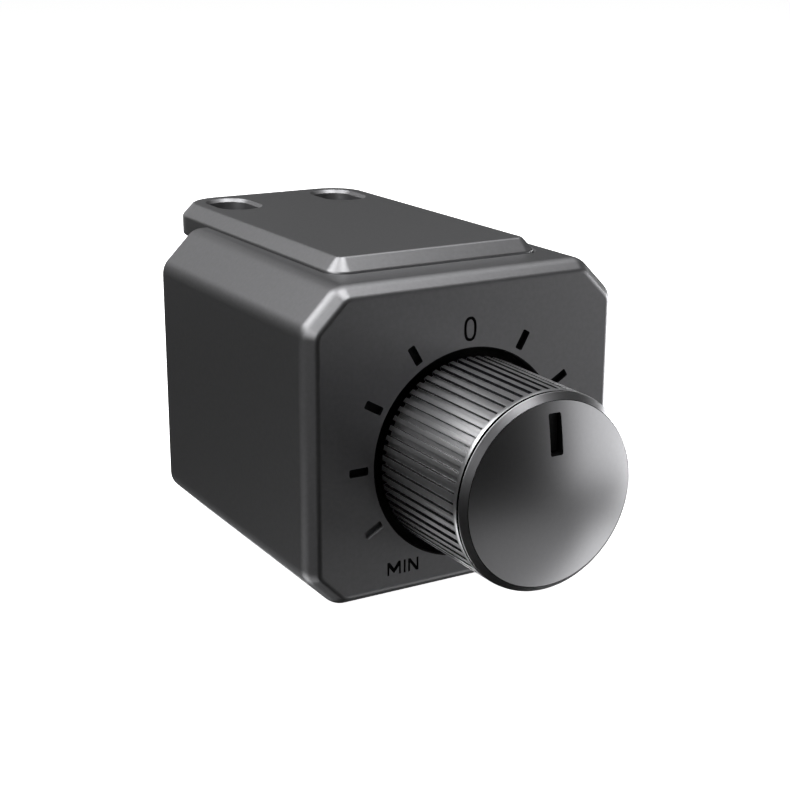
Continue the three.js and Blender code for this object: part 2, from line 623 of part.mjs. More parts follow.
const lockWasher = () =>
  ring(BUSHING_RADIUS + FIT_GAP, WASHER_RADIUS, WASHER_FRONT_Y, WASHER_FRONT_Y + WASHER_THICKNESS);

function bushingNut() {
  const back = WASHER_FRONT_Y - FIT_GAP;
  const front = back - NUT_THICKNESS;
  return cut(rod(NUT_RADIUS, front, back, 6), rod(BUSHING_RADIUS + 0.1, front - 1, back + 1, 24));
}

// The return spring: a coil round the bushing, between the nut and the knob's hub.
class Coil extends THREE.Curve {
  constructor(radius, y0, y1, turns) {
    super();
    Object.assign(this, { radius, y0, y1, turns });
  }

  getPoint(t, target = new THREE.Vector3()) {
    const angle = 2 * Math.PI * this.turns * t;
    const y = THREE.MathUtils.lerp(this.y0, this.y1, t);
    return target.set(this.radius * Math.cos(angle), y, DIAL_Z + this.radius * Math.sin(angle));
  }
}

function returnSpring() {
  const half = SPRING_WIRE / 2;
  const path = new Coil(SPRING_RADIUS, SPRING_BACK_Y - half, HUB_BACK_Y + FIT_GAP + half, SPRING_TURNS);
  const section = new THREE.Shape();
  section.absarc(0, 0, half, 0, 2 * Math.PI, false);
  const options = { steps: 56, extrudePath: path, curveSegments: 3, bevelEnabled: false };
  return solid(new THREE.ExtrudeGeometry(section, options));
}

function switchCase() {
  const [half, back] = [SWITCH_SIDE / 2, BOARD_FRONT_Y - FIT_GAP];
  const body = block([-half, SWITCH_FRONT_Y, DIAL_Z - half], [half, back, DIAL_Z + half]);
  return cut(body, rod(PLUNGER_RADIUS + 0.2, SWITCH_FRONT_Y - 1, back - 0.5, 24));
}

function switchPlunger() {
  const [front, back, edge] = [PLUNGER_FRONT_Y, PLUNGER_FRONT_Y + PLUNGER_LENGTH, 0.3];
  return turned([
    [0, front], [PLUNGER_RADIUS - edge, front], [PLUNGER_RADIUS, front + edge],
    [PLUNGER_RADIUS, back], [0, back],
  ], 20);
}

// A leg of the switch, outside its case and on the board.
function switchTerminal(side) {
  const near = SWITCH_SIDE / 2 + FIT_GAP;
  const far = near + 0.5;
  const [x0, x1] = side < 0 ? [-far, -near] : [near, far];
  return block([x0, SWITCH_FRONT_Y + 1, DIAL_Z - 1], [x1, BOARD_FRONT_Y - FIT_GAP, DIAL_Z + 1]);
}

// ---------------------------------------------------------------- knob

function fluteCutter(index) {
  const length = FLUTE_BACK_Y - FLUTE_FRONT_Y;
  const geometry = new THREE.BoxGeometry(FLUTE_WIDTH, length, 2 * FLUTE_DEPTH);
  geometry.translate(0, (FLUTE_FRONT_Y + FLUTE_BACK_Y) / 2, KNOB_RADIUS);
  geometry.rotateY((2 * Math.PI * (index + 0.5)) / FLUTE_COUNT).translate(0, 0, DIAL_Z);
  return solid(geometry);
}

function knobBody() {
  const barrel = turned([
    [0, BARREL_FRONT_Y], [KNOB_RADIUS, BARREL_FRONT_Y],
    [KNOB_RADIUS, KNOB_SKIRT - 0.3], [KNOB_RADIUS - 0.3, KNOB_SKIRT], [0, KNOB_SKIRT],
  ], FLUTE_COUNT * 2);
  return cut(barrel,
    rod(CAP_SPIGOT_RADIUS + FIT_GAP, BARREL_FRONT_Y - 1, CAP_SPIGOT_BACK_Y + FIT_GAP, 32),
    rod(KNOB_CAVITY_RADIUS, HUB_BACK_Y, KNOB_SKIRT + 1, 32),
    rod(HUB_BORE_RADIUS, HUB_FRONT_Y - FIT_GAP, HUB_BACK_Y + 1, 32),
    ...Array.from({ length: FLUTE_COUNT }, (_, i) => fluteCutter(i)));
}

const pointerBlock = (gap, y0, y1) => block(
  [-POINTER_WIDTH / 2 + gap, y0, DIAL_Z + POINTER_INNER_RADIUS + gap],
  [POINTER_WIDTH / 2 - gap, y1, DIAL_Z + POINTER_OUTER_RADIUS - gap]);

// The knob's domed face, and the floor of the pointer's slot under its outer end.
const domeY = (radius) => -KNOB_LENGTH - KNOB_DOME_HEIGHT * (1 - (radius / KNOB_FACE_RADIUS) ** 2);
const POINTER_FLOOR_Y = domeY(POINTER_OUTER_RADIUS) + POINTER_DEPTH;

function knobCap() {
  const rings = 5;
  const dome = Array.from({ length: rings + 1 }, (_, i) => (KNOB_FACE_RADIUS * i) / rings)
    .map((radius) => [radius, domeY(radius)]);
  const blank = turned([
    ...dome, [KNOB_RADIUS, CAP_BACK_Y], [CAP_SPIGOT_RADIUS, CAP_BACK_Y],
    [CAP_SPIGOT_RADIUS, CAP_SPIGOT_BACK_Y], [0, CAP_SPIGOT_BACK_Y],
  ], 60);
  return cut(blank, pointerBlock(0, domeY(0) - 1, POINTER_FLOOR_Y));
}

const pointerInlay = () => pointerBlock(
  INLAY_GAP, POINTER_FLOOR_Y - INLAY_GAP - INLAY_THICKNESS, POINTER_FLOOR_Y - INLAY_GAP);

function hubInsert() {
  return cut(rod(HUB_BORE_RADIUS - FIT_GAP, HUB_FRONT_Y, HUB_BACK_Y, 32),
    dRod(SHAFT_RADIUS + FIT_GAP, SHAFT_FLAT + 0.9, SHAFT_FRONT_Y - FIT_GAP, HUB_BACK_Y + 1));
}

// The leaf that grips the shaft's flat inside the hub.
function shaftClip() {
  const low = DIAL_Z + SHAFT_FLAT + 0.3;
  return block([-CLIP_WIDTH / 2, SHAFT_FRONT_Y + 0.4, low],
    [CLIP_WIDTH / 2, HUB_BACK_Y - 0.4, low + CLIP_THICKNESS]);
}

// ---------------------------------------------------------------- assembly

add('housing_shell', housingShell(), SATIN_PLASTIC);
add('mounting_plate', mountingPlate(), COATED_METAL);
PLATE_SCREW_Y.forEach((y, i) => add(`plate_screw_${i + 1}`, plateScrew(y), STEEL));

add('rear_cover', rearCover(), SATIN_PLASTIC);
add('cover_gasket', coverGasket(), RUBBER);
screwPlaces(COVER_SCREW_X, COVER_SCREW_Z).forEach(([x, z], i) => {
  add(`cover_screw_${i + 1}`, screwAlongY(x, z, HOUSING_DEPTH - 1), BLACK_STEEL);
});
add('connector_socket', connectorSocket(), BLACK_PLASTIC);
for (let i = 0; i < PIN_COUNT; i++) add(`contact_pin_${i + 1}`, contactPin(i), BRASS);

add('main_board', mainBoard(), BOARD_GREEN);
screwPlaces(BOARD_SCREW_X, BOARD_SCREW_Z).forEach(([x, z], i) => {
  add(`board_screw_${i + 1}`, screwAlongY(x, z, PARTS_FRONT_Y, { shankLength: 6 }), STEEL);
});
add('microcontroller', chip(-7.5, 6.8, 9, 9, 1.4), BLACK_PLASTIC);
add('accelerometer_chip', chip(3.2, 7, 5, 5, 1.2), BLACK_PLASTIC);
add('voltage_regulator', chip(11, 4.6, 6, 6, 1.7), BLACK_PLASTIC);
add('power_transistor', powerTransistor(12, -5), BLACK_PLASTIC);
add('filter_capacitor', filterCapacitor(-12, -4.5), ALUMINIUM);

add('pot_case', potCase(), BLACK_PLASTIC);
add('pot_cover', potCover(), BLACK_PLASTIC);
add('resistive_track', resistiveTrack(), CARBON_TRACK);
POT_TERMINAL_X.forEach((x, i) => add(`pot_terminal_${i + 1}`, potTerminal(x), BRASS));
add('lock_washer', lockWasher(), STEEL);
add('bushing_nut', bushingNut(), STEEL);
add('return_spring', returnSpring(), STEEL);
add('switch_case', switchCase(), BLACK_PLASTIC);
[-1, 1].forEach((side, i) => add(`switch_terminal_${i + 1}`, switchTerminal(side), BRASS));

add('pot_rotor', potRotor(), BLACK_PLASTIC);
add('wiper', wiper(), BRASS);

add('knob_body', knobBody(), KNOB_METAL);
add('knob_cap', knobCap(), KNOB_METAL);
add('pointer_inlay', pointerInlay(), BLACK_PLASTIC);
add('hub_insert', hubInsert(), BRASS);
add('pot_shaft', potShaft(), STEEL);
add('shaft_clip', shaftClip(), STEEL);

add('switch_plunger', switchPlunger(), BLACK_PLASTIC);

export default unit;
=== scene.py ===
"""The looks of a trailer brake controller unit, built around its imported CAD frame.

Shapes are made in millimetres in the row frame: +X to the driver's right, +Y away from the driver, +Z up,
with the origin on the mounting plate's top face. They become metres when they are placed.
"""
import json
import math

import bmesh
import bpy
from mathutils import Matrix, Vector


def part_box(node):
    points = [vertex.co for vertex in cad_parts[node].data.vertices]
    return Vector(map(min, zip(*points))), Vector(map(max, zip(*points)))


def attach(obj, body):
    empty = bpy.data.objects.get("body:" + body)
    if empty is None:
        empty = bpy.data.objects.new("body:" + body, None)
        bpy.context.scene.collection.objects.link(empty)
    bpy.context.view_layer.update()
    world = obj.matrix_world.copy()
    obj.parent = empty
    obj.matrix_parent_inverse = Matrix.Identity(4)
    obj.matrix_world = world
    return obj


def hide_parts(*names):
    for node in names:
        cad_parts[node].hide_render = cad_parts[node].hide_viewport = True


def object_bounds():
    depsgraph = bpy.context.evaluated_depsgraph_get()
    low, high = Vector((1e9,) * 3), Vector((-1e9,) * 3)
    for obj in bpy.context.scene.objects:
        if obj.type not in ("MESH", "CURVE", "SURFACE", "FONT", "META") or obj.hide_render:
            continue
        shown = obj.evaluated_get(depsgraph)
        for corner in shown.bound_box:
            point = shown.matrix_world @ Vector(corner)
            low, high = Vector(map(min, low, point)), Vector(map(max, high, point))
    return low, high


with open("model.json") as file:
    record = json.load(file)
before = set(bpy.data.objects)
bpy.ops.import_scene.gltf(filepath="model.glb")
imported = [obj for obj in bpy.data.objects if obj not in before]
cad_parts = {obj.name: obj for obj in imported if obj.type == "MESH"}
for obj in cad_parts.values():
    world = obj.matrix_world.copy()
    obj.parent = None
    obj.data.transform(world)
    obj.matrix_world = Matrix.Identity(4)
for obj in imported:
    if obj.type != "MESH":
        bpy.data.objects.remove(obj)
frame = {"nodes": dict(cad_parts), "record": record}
CAD_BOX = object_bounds()

MM = 0.001  # metres in a millimetre


# ---------------------------------------------------------------- places, from the frame

def span(node):
    """A CAD node's lowest and highest corners, in millimetres."""
    low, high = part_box(node)
    return low / MM, high / MM


SHELL_LOW, SHELL_HIGH = span("housing_shell")
PLATE_LOW, PLATE_HIGH = span("mounting_plate")
BARREL_LOW, BARREL_HIGH = span("knob_body")
CAP_LOW, CAP_HIGH = span("knob_cap")
COVER_LOW, COVER_HIGH = span("rear_cover")
SOCKET_LOW, SOCKET_HIGH = span("connector_socket")

FRONT_Y = SHELL_LOW.y
BACK_Y = SHELL_HIGH.y
MIDDLE_Z = (SHELL_LOW.z + SHELL_HIGH.z) / 2
HALF_WIDTH = SHELL_HIGH.x
HALF_HEIGHT = (SHELL_HIGH.z - SHELL_LOW.z) / 2
AXIS_Z = (BARREL_LOW.z + BARREL_HIGH.z) / 2
KNOB_RADIUS = CAP_HIGH.x

# ---------------------------------------------------------------- driving dimensions

TOP_CHAMFER, BOTTOM_CHAMFER = 4.3, 3.8  # legs of the chamfers along the housing's four long edges
EDGE_ROUNDING = 2.6
FRONT_BEVEL_INSET = 1.2
FRONT_BEVEL_DEPTH = 1.5
HOUSING_ROUNDING = (0.8, 2.2, 0.25)  # the bevel's two edges and the rear rim
WALL = 2.4
FRONT_WALL = 3.5
RIM_WALL = 1.0  # wall left beside the rear cover
REBATE_DEPTH = 3.4
SEAT_THICKNESS = 2.0  # housing wall under the plate's pocket
SHELL_CUT_Z = PLATE_LOW.z - 0.1  # the pocket's floor

COVER_GAP = 0.15
COVER_ROUNDING = (0.2, 0.45)
COVER_SCREWS = 4
SCREW_HEAD_RADIUS = 1.9
SCREW_HEAD_HEIGHT = 1.0
SCREW_SHANK_RADIUS = 1.0
SCREW_TIP_RADIUS = 0.35
SCREW_TIP_LENGTH = 0.8
CROSS_LONG, CROSS_NARROW = 1.05, 0.26  # half the length and width of the recess's arms
CROSS_DEPTH = 0.55
SEAT_RADIUS = 2.3  # of the cover screws' sunk seats
SEAT_DEPTH = 1.3
SEAT_HOLE_RADIUS = 1.25
CONTACT_PINS = 4
PIN_HOLE_HALF = 0.4  # half the width of a contact pin's square hole
SOCKET_DEPTH = 13.0
SOCKET_WALL = 1.2
SOCKET_CORNER = 0.8
KEYWAY_HALF_WIDTH = 1.5
KEYWAY_LENGTH = 4

RECESS_RADIUS = 12.0
RECESS_DEPTH = 2.0
BUSHING_HOLE_RADIUS = 3.8
TICK_ANGLES = (-120, -90, -60, -30, 30, 60, 90, 120)
TICK_INNER, TICK_OUTER = 12.8, 15.1
TICK_WIDTH = 0.95
TICK_DEPTH = 0.5
TICK_CORNER = 0.18
MARK_DEPTH = 0.3
ZERO_MIDDLE = 14.2  # above the knob's axis
LETTER_WIDTHS = {"M": 1.72, "I": 0.19, "N": 1.33, "A": 1.5, "X": 1.35}
LETTER_HEIGHT = 1.55
LETTER_STROKE = 0.24
LETTER_GAP = 0.38
WORD_BOTTOM = -12.75  # from the knob's axis, upwards
WORD_START = 10.4  # from the knob's axis to the word's outer end

PLATE_FRONT_CORNER, PLATE_REAR_CORNER = 2.2, 5.8
PLATE_BEVEL_INSET = 1.4
PLATE_BEVEL_HEIGHT = 1.5
SLOT_X = 7.6
SLOT_WIDTH, SLOT_LENGTH = 5.2, 8.4
SLOT_CHAMFER = 0.4
PLATE_ROUNDING = (0.25, 0.5, 0.5)

# The knob's places along Y are measured from the front face.
FACE_RADIUS = 10.15
DOME_HEIGHT = 1.2
FLUTE_COUNT = 60
FLUTE_DEPTH = 0.45
FLUTE_WIDTH = 0.58
FLUTE_FRONT_Y = -14.1
BARREL_TAPER = 0.1  # how much wider the barrel is at the back
POINTER_WIDTH = 1.55
POINTER_INNER, POINTER_OUTER = 4.5, 8.9
POINTER_DEPTH = 0.9
POINTER_CORNER = 0.22
INLAY_GAP = 0.1
INLAY_THICKNESS = 0.53
INLAY_EDGE = 0.08  # the chamfer round the inlay's front
FACE_EDGE_Y = -15.7
CAP_EDGE_Y = -15.0  # the rear edge of the cap's bevel
CAP_GAP = 0.3
RIM_LINE = 0.07  # the fine dark line round the face: a groove painted black, as painted shade
SPIGOT_RADIUS = 8.0  # of the cap's spigot, which sits in the barrel
SPIGOT_BACK_Y = -14.4
SPIGOT_HOLE_RADIUS = 8.3
CAVITY_RADIUS = 8.5
HUB_BORE_RADIUS = 5.0
HUB_FRONT_Y, HUB_BACK_Y = -13.5, -6.0

PAST = 1.0  # how far a cutter runs past the face that it cuts
HAIR = 0.001  # tolerance for telling which faces lie on an edge

# The camera and the light, in metres.
CAMERA_PLACE = Vector((-0.08953, -0.18294, 0.03334))
CAMERA_AZIMUTH = -30.108  # degrees round +Z from straight ahead
CAMERA_ELEVATION = 16.502
CAMERA_ROLL = 0.147
CAMERA_LENS = 70.69  # mm, on a sensor 36 mm wide
SENSOR_WIDTH = 36
FLOOR_HALF_WIDTH = 3
FLOOR_GLOW = 0.98
SOFT_BOX_SIDE = 0.3
SOFT_BOX_DISTANCE = 0.5
SOFT_BOX_AIM = Vector((0, -0.025, -0.02))


# ---------------------------------------------------------------- outlines

def arc_at(before, corner, after, radius, steps):
    """The points of an arc that rounds a corner between two straight lines."""
    back = (before - corner).normalized()
    ahead = (after - corner).normalized()
    half = back.angle(ahead) / 2
    centre = corner + (back + ahead).normalized() * (radius / math.sin(half))
    spoke = corner + back * (radius / math.tan(half)) - centre
    turn = (math.pi - 2 * half) * (1 if back.cross(ahead) < 0 else -1)
    arc = []
    for i in range(steps + 1):
        angle = turn * i / steps
        arc.append(centre + Matrix.Rotation(angle, 2) @ spoke)
    return arc


def rounded(corners, radii, steps=6):
    """A closed outline with an arc at each corner, all of one radius or each of its own."""
    points = [Vector(c) for c in corners]
    if not isinstance(radii, (list, tuple)):
        radii = [radii] * len(points)
    outline = []
    for i, corner in enumerate(points):
        outline += arc_at(points[i - 1], corner, points[(i + 1) % len(points)], radii[i], steps)
    return outline


def rounded_path(corners, radii, steps=6):
    """An open path whose inner corners are rounded, one radius for each; 0 keeps a corner sharp."""
    points = [Vector(c) for c in corners]
    path = [points[0]]
    for i, radius in enumerate(radii, start=1):
        if radius:
            path += arc_at(points[i - 1], points[i], points[i + 1], radius, steps)
        else:
            path.append(points[i])
    return path + [points[-1]]


def box_outline(half_width, low, high):
    return [(-half_width, low), (half_width, low), (half_width, high), (-half_width, high)]


def slot_outline(width, length, steps=16):
    """A slot with round ends, long in its second coordinate."""
    radius, straight = width / 2, (length - width) / 2
    outline = []
    for end in (1, -1):
        for i in range(steps + 1):
            angle = math.pi * i / steps + (0 if end > 0 else math.pi)
            outline.append(Vector((radius * math.cos(angle), end * straight + radius * math.sin(angle))))
    return outline


def housing_outline(inset, top=None, steps=6):
    """The housing's eight-sided section in X and Z, moved inwards by inset, with its top cut at top."""
    side = HALF_WIDTH - inset
    low = MIDDLE_Z - HALF_HEIGHT + inset
    shrink = inset * (2 - math.sqrt(2))
    leg = BOTTOM_CHAMFER - shrink
    shoulder = MIDDLE_Z + HALF_HEIGHT - inset - (TOP_CHAMFER - shrink)
    high = MIDDLE_Z + HALF_HEIGHT - inset if top is None else top
    right = [(side - leg, low), (side, low + leg), (side, shoulder), (side - (high - shoulder), high)]
    left = [(-x, z) for x, z in reversed(right)]
    return rounded(right + left, max(EDGE_ROUNDING - inset, 0.25), steps)


def plate_outline(inset, steps=8):
    """The mounting plate's outline in X and Y, moved inwards by inset."""
    corners = box_outline(PLATE_HIGH.x - inset, PLATE_LOW.y + inset, PLATE_HIGH.y - inset)
    front, rear = PLATE_FRONT_CORNER - inset, PLATE_REAR_CORNER - inset
    return rounded(corners, [front, front, rear, rear], steps)


# ---------------------------------------------------------------- meshes

def along_y(outline, y):
    """An outline in X and Z, placed at y."""
    return [Vector((p.x, y, p.y)) for p in outline]


def along_z(outline, z):
    """An outline in X and Y, placed at z."""
    return [Vector((p.x, p.y, z)) for p in outline]


def circle_y(radius, y, segments, x=0.0, z=None):
    """A circle round the line through x and z that runs along Y."""
    centre_z = AXIS_Z if z is None else z
    turn = 2 * math.pi / segments
    return [Vector((x + radius * math.sin(turn * i), y, centre_z + radius * math.cos(turn * i)))
            for i in range(segments)]


def loft(rings, closed=False):
    """A skin over rings of equally many points. An open skin gets an end face at each end."""
    bm = bmesh.new()
    rows = [[bm.verts.new(p) for p in ring] for ring in rings]
    count = len(rings[0])
    pairs = list(zip(rows, rows[1:]))
    if closed:
        pairs.append((rows[-1], rows[0]))
    for a, b in pairs:
        for i in range(count):
            j = (i + 1) % count
            bm.faces.new((a[i], a[j], b[j], b[i]))
    if not closed:
        bm.faces.new(rows[0])
        bm.faces.new(rows[-1])
    bmesh.ops.recalc_face_normals(bm, faces=bm.faces)
    return bm


def turned(profile, segments=64, x=0.0, z=None):
    """A body turned about Y from a profile of (radius, y). A profile that meets the axis twice is solid,
    and one that keeps off it is a ring."""
    on_axis = [i for i, (radius, _) in enumerate(profile) if radius == 0]
    rings = [circle_y(radius, y, segments, x, z) for radius, y in profile if radius > 0]
    if not on_axis:
        return loft(rings, closed=True)
    bm = loft(rings)
    for end, y in ((0, profile[0][1]), (-1, profile[-1][1])):
        cap = next(f for f in bm.faces if len(f.verts) == segments
                   and all(abs(v.co.y - rings[end][0].y) < 1e-6 for v in f.verts))
        centre = bmesh.ops.poke(bm, faces=[cap])["verts"][0]
        centre.co.y = y
    return bm


def as_object(name, bm, materials=()):
    """A new object, still in millimetres, from a bmesh."""
    mesh = bpy.data.meshes.new(name)
    bm.to_mesh(mesh)
    bm.free()
    for item in materials:
        mesh.materials.append(item)
    obj = bpy.data.objects.new(name, mesh)
    bpy.context.scene.collection.objects.link(obj)
    return obj


def carve(obj, cutters):
    """Cuts each cutter out of obj and removes it. The new faces keep the cutter's material."""
    for cutter in cutters:
        modifier = obj.modifiers.new("carve", "BOOLEAN")
        modifier.object = cutter
        modifier.operation = "DIFFERENCE"
        modifier.solver = "EXACT"
        modifier.material_mode = "TRANSFER"
    evaluated = obj.evaluated_get(bpy.context.evaluated_depsgraph_get())
    mesh = bpy.data.meshes.new_from_object(evaluated)
    mesh.name = obj.name
    obj.modifiers.clear()
    obj.data = mesh
    for cutter in cutters:
        bpy.data.objects.remove(cutter)


def soften(obj, angle=28):
    """Smooth shading that keeps flat faces flat and edges past the angle, in degrees, sharp."""
    obj.data.shade_smooth()
    obj.data.set_sharp_from_angle(angle=math.radians(angle))
    weighted = obj.modifiers.new("weighted normals", "WEIGHTED_NORMAL")
    weighted.keep_sharp = True


def place(obj, body, slot, *nodes):
    """Turns the finished mesh into metres, lets it ride on a body, and puts it in place of CAD nodes."""
    obj.data.transform(Matrix.Scale(MM, 4))
    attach(obj, body)
    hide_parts(*nodes)
    return obj


# ---------------------------------------------------------------- materials

class Look:
    """A procedural material: a Principled shader and the node patterns that drive it."""

    def __init__(self, name, colour, roughness, metallic=0.0, **sockets):
        self.material = bpy.data.materials.new(name)
        self.material.use_nodes = True
        self.tree = self.material.node_tree
        self.shader = self.tree.nodes["Principled BSDF"]
        self.shader.inputs["Base Color"].default_value = (*colour, 1)
        self.shader.inputs["Roughness"].default_value = roughness
        self.shader.inputs["Metallic"].default_value = metallic
        for socket, value in sockets.items():
            self.shader.inputs[socket.replace("_", " ")].default_value = value
        self.colour = colour
        self.place = self.node("ShaderNodeTexCoord").outputs["Object"]

    def node(self, kind, **settings):
        made = self.tree.nodes.new(kind)
        for name, value in settings.items():
            setattr(made, name, value)
        return made

    def link(self, source, target):
        self.tree.links.new(source, target)

    def noise(self, size, detail=2.0, stretch=(1, 1, 1)):
        """A noise whose features are about size millimetres across, from 0 to 1."""
        scaled = self.node("ShaderNodeVectorMath", operation="MULTIPLY")
        self.link(self.place, scaled.inputs[0])
        scaled.inputs[1].default_value = stretch
        noise = self.node("ShaderNodeTexNoise")
        noise.inputs["Scale"].default_value = 1 / (size * MM)
        noise.inputs["Detail"].default_value = detail
        self.link(scaled.outputs["Vector"], noise.inputs["Vector"])
        return noise.outputs["Fac"]

    def ranged(self, value, low, high, start=0.3, end=0.7):
        """A value from 0 to 1 spread over low to high."""
        spread = self.node("ShaderNodeMapRange")
        self.link(value, spread.inputs["Value"])
        for socket, number in (("From Min", start), ("From Max", end), ("To Min", low), ("To Max", high)):
            spread.inputs[socket].default_value = number
        return spread.outputs["Result"]

    def vary_colour(self, value, low, high):
        """The base colour, darkened to low and lightened to high where the value says."""
        ramp = self.node("ShaderNodeValToRGB")
        self.link(value, ramp.inputs["Fac"])
        for element, share, place in zip(ramp.color_ramp.elements, (low, high), (0.3, 0.7)):
            element.color = (*(c * share for c in self.colour), 1)
            element.position = place
        self.link(ramp.outputs["Color"], self.shader.inputs["Base Color"])

    def vary_roughness(self, value, low, high):
        self.link(self.ranged(value, low, high), self.shader.inputs["Roughness"])

    def bump(self, value, height):
        """A height pattern, with its height in millimetres."""
        bump = self.node("ShaderNodeBump")
        bump.inputs["Strength"].default_value = 1.0
        bump.inputs["Distance"].default_value = height * MM
        self.link(value, bump.inputs["Height"])
        self.link(bump.outputs["Normal"], self.shader.inputs["Normal"])


def satin_grey(name, colour):
    """The housing's and the plate's satin grey finish, with a fine grain."""
    look = Look(name, colour, 0.45, metallic=1.0)
    look.vary_colour(look.noise(0.5, 5), 0.96, 1.04)
    look.vary_roughness(look.noise(0.3, 4), 0.435, 0.465)
    look.bump(look.noise(0.16, 2), 0.0007)
    return look.material


# Black for the printed marks round the dial and for the pointer's well, and painted shade in the knob's
# recess, the cap's fine line and the cap's joint.
def black_print_and_painted_shade():
    look = Look("black_print_and_painted_shade", (0.002, 0.002, 0.0022), 0.6, Specular_IOR_Level=0.12)
    look.vary_roughness(look.noise(0.5, 3), 0.5, 0.7)
    return look.material


def grey_mark():
    look = Look("grey_mark", (0.16, 0.16, 0.165), 0.5)
    look.vary_roughness(look.noise(0.5, 3), 0.45, 0.6)
    return look.material


def knob_metal():
    look = Look("knob_metal", (0.5, 0.5, 0.515), 0.31, metallic=1.0)
    look.vary_colour(look.noise(0.4, 4), 0.98, 1.02)
    look.vary_roughness(look.noise(0.25, 4), 0.3, 0.32)
    look.bump(look.noise(0.1, 2), 0.0002)
    return look.material


def barrel_metal():
    look = Look("barrel_metal", (0.8, 0.8, 0.815), 0.31, metallic=1.0)
    look.vary_colour(look.noise(0.4, 4), 0.97, 1.03)
    look.vary_roughness(look.noise(0.25, 4), 0.29, 0.33)
    look.bump(look.noise(0.1, 2), 0.0003)
    return look.material


def painted_shade_metal():
    """Painted shade: a dark metal on the flutes' walls and in the knob's joint, where shade falls."""
    look = Look("painted_shade_metal", (0.015, 0.015, 0.016), 0.5, metallic=1.0)
    look.vary_roughness(look.noise(0.3, 3), 0.4, 0.6)
    return look.material


def black_plastic():
    look = Look("black_plastic", (0.012, 0.012, 0.013), 0.4)
    look.vary_roughness(look.noise(0.7, 4), 0.34, 0.48)
    look.bump(look.noise(0.15, 2), 0.002)
    return look.material


def plated(name, colour, low, high):
    """Plated or drawn metal with a mottled finish."""
    look = Look(name, colour, (low + high) / 2, metallic=1.0)
    look.vary_colour(look.noise(0.9, 4), 0.9, 1.08)
    look.vary_roughness(look.noise(0.35, 5), low, high)
    look.bump(look.noise(0.1, 3), 0.0008)
    return look.material


def board_laminate():
    look = Look("board_laminate", (0.01, 0.09, 0.035), 0.3)
    look.vary_colour(look.noise(1.6, 6), 0.8, 1.25)
    look.vary_roughness(look.noise(0.6, 4), 0.24, 0.4)
    look.bump(look.noise(0.4, 2, (1, 1, 8)), 0.002)
    return look.material


def matte(name, colour, low, high, grain, height):
    """A matte moulded or printed finish with a fine grain."""
    look = Look(name, colour, (low + high) / 2)
    look.vary_colour(look.noise(grain * 4, 4), 0.88, 1.12)
    look.vary_roughness(look.noise(grain * 2, 4), low, high)
    look.bump(look.noise(grain, 3), height)
    return look.material


SATIN_PLASTIC = satin_grey("satin_plastic", (0.205, 0.205, 0.211))
BLACK_PRINT_AND_PAINTED_SHADE = black_print_and_painted_shade()
GREY_MARK = grey_mark()
COATED_METAL = satin_grey("coated_metal", (0.225, 0.225, 0.231))
KNOB_METAL = knob_metal()
BARREL_METAL = barrel_metal()
PAINTED_SHADE_METAL = painted_shade_metal()
BLACK_PLASTIC = black_plastic()
SLOT_MATERIALS = {
    "satin_plastic": SATIN_PLASTIC,
    "coated_metal": COATED_METAL,
    "knob_metal": KNOB_METAL,
    "pointer_black": matte("pointer_black", (0.003, 0.003, 0.0035), 0.55, 0.75, 0.1, 0.001),
    "black_plastic": BLACK_PLASTIC,
    "chip_plastic": matte("chip_plastic", (0.02, 0.02, 0.022), 0.5, 0.7, 0.08, 0.002),
    "zinc_steel": plated("zinc_steel", (0.5, 0.51, 0.53), 0.25, 0.42),
    "black_steel": plated("black_steel", (0.05, 0.05, 0.055), 0.3, 0.45),
    "spring_steel": plated("spring_steel", (0.55, 0.55, 0.56), 0.18, 0.3),
    "contact_brass": plated("contact_brass", (0.66, 0.46, 0.18), 0.2, 0.36),
    "gasket_rubber": matte("gasket_rubber", (0.012, 0.012, 0.012), 0.75, 0.9, 0.2, 0.004),
    "board_laminate": board_laminate(),
    "carbon_track": matte("carbon_track", (0.015, 0.015, 0.015), 0.6, 0.8, 0.06, 0.001),
    "can_aluminium": plated("can_aluminium", (0.72, 0.73, 0.75), 0.2, 0.34),
}


def dress_cad_nodes():
    """Gives every CAD node the procedural material of its record slot."""
    for row in frame["record"]["subparts"]:
        slots = frame["nodes"][row["node"]].data.materials
        slots.clear()
        slots.append(SLOT_MATERIALS[row["material_slot"]])


# ---------------------------------------------------------------- dial marks

def stamp(outline, depth, material, angle=0.0, name="stamp"):
    """A cutter that sinks an outline, drawn in X and Z about the dial's centre, into the front face."""
    spin = Matrix.Rotation(-math.radians(angle), 2)
    placed = [spin @ p + Vector((0, AXIS_Z)) for p in outline]
    rings = [along_y(placed, y) for y in (FRONT_Y - PAST, FRONT_Y + depth)]
    return as_object(name, loft(rings), [material])


def tick(angle):
    """The cutter of one tick. The two end ticks are filled with a lighter grey."""
    outline = rounded(box_outline(TICK_WIDTH / 2, TICK_INNER, TICK_OUTER), TICK_CORNER, 4)
    fill = GREY_MARK if abs(angle) == max(TICK_ANGLES) else BLACK_PRINT_AND_PAINTED_SHADE
    return stamp(outline, TICK_DEPTH, fill, angle)


def oval(half_width, half_height, segments=40, power=2.5):
    """A rounded oval, a little squarer than an ellipse."""
    outline = []
    for i in range(segments):
        c, s = math.cos(2 * math.pi * i / segments), math.sin(2 * math.pi * i / segments)
        outline.append(Vector((half_width * math.copysign(abs(c) ** (2 / power), c),
                               half_height * math.copysign(abs(s) ** (2 / power), s))))
    return outline


def zero_mark(height=2.75, width=1.62, stroke=0.32):
    """The cutter of the 0 above the knob: a ring."""
    rings = []
    for shrink, deep in ((0, False), (0, True), (stroke, True), (stroke, False)):
        outline = oval(width / 2 - shrink, height / 2 - shrink)
        y = FRONT_Y + (MARK_DEPTH if deep else -PAST)
        rings.append(along_y([p + Vector((0, AXIS_Z + ZERO_MIDDLE)) for p in outline], y))
    return as_object("zero", loft(rings, closed=True), [BLACK_PRINT_AND_PAINTED_SHADE])


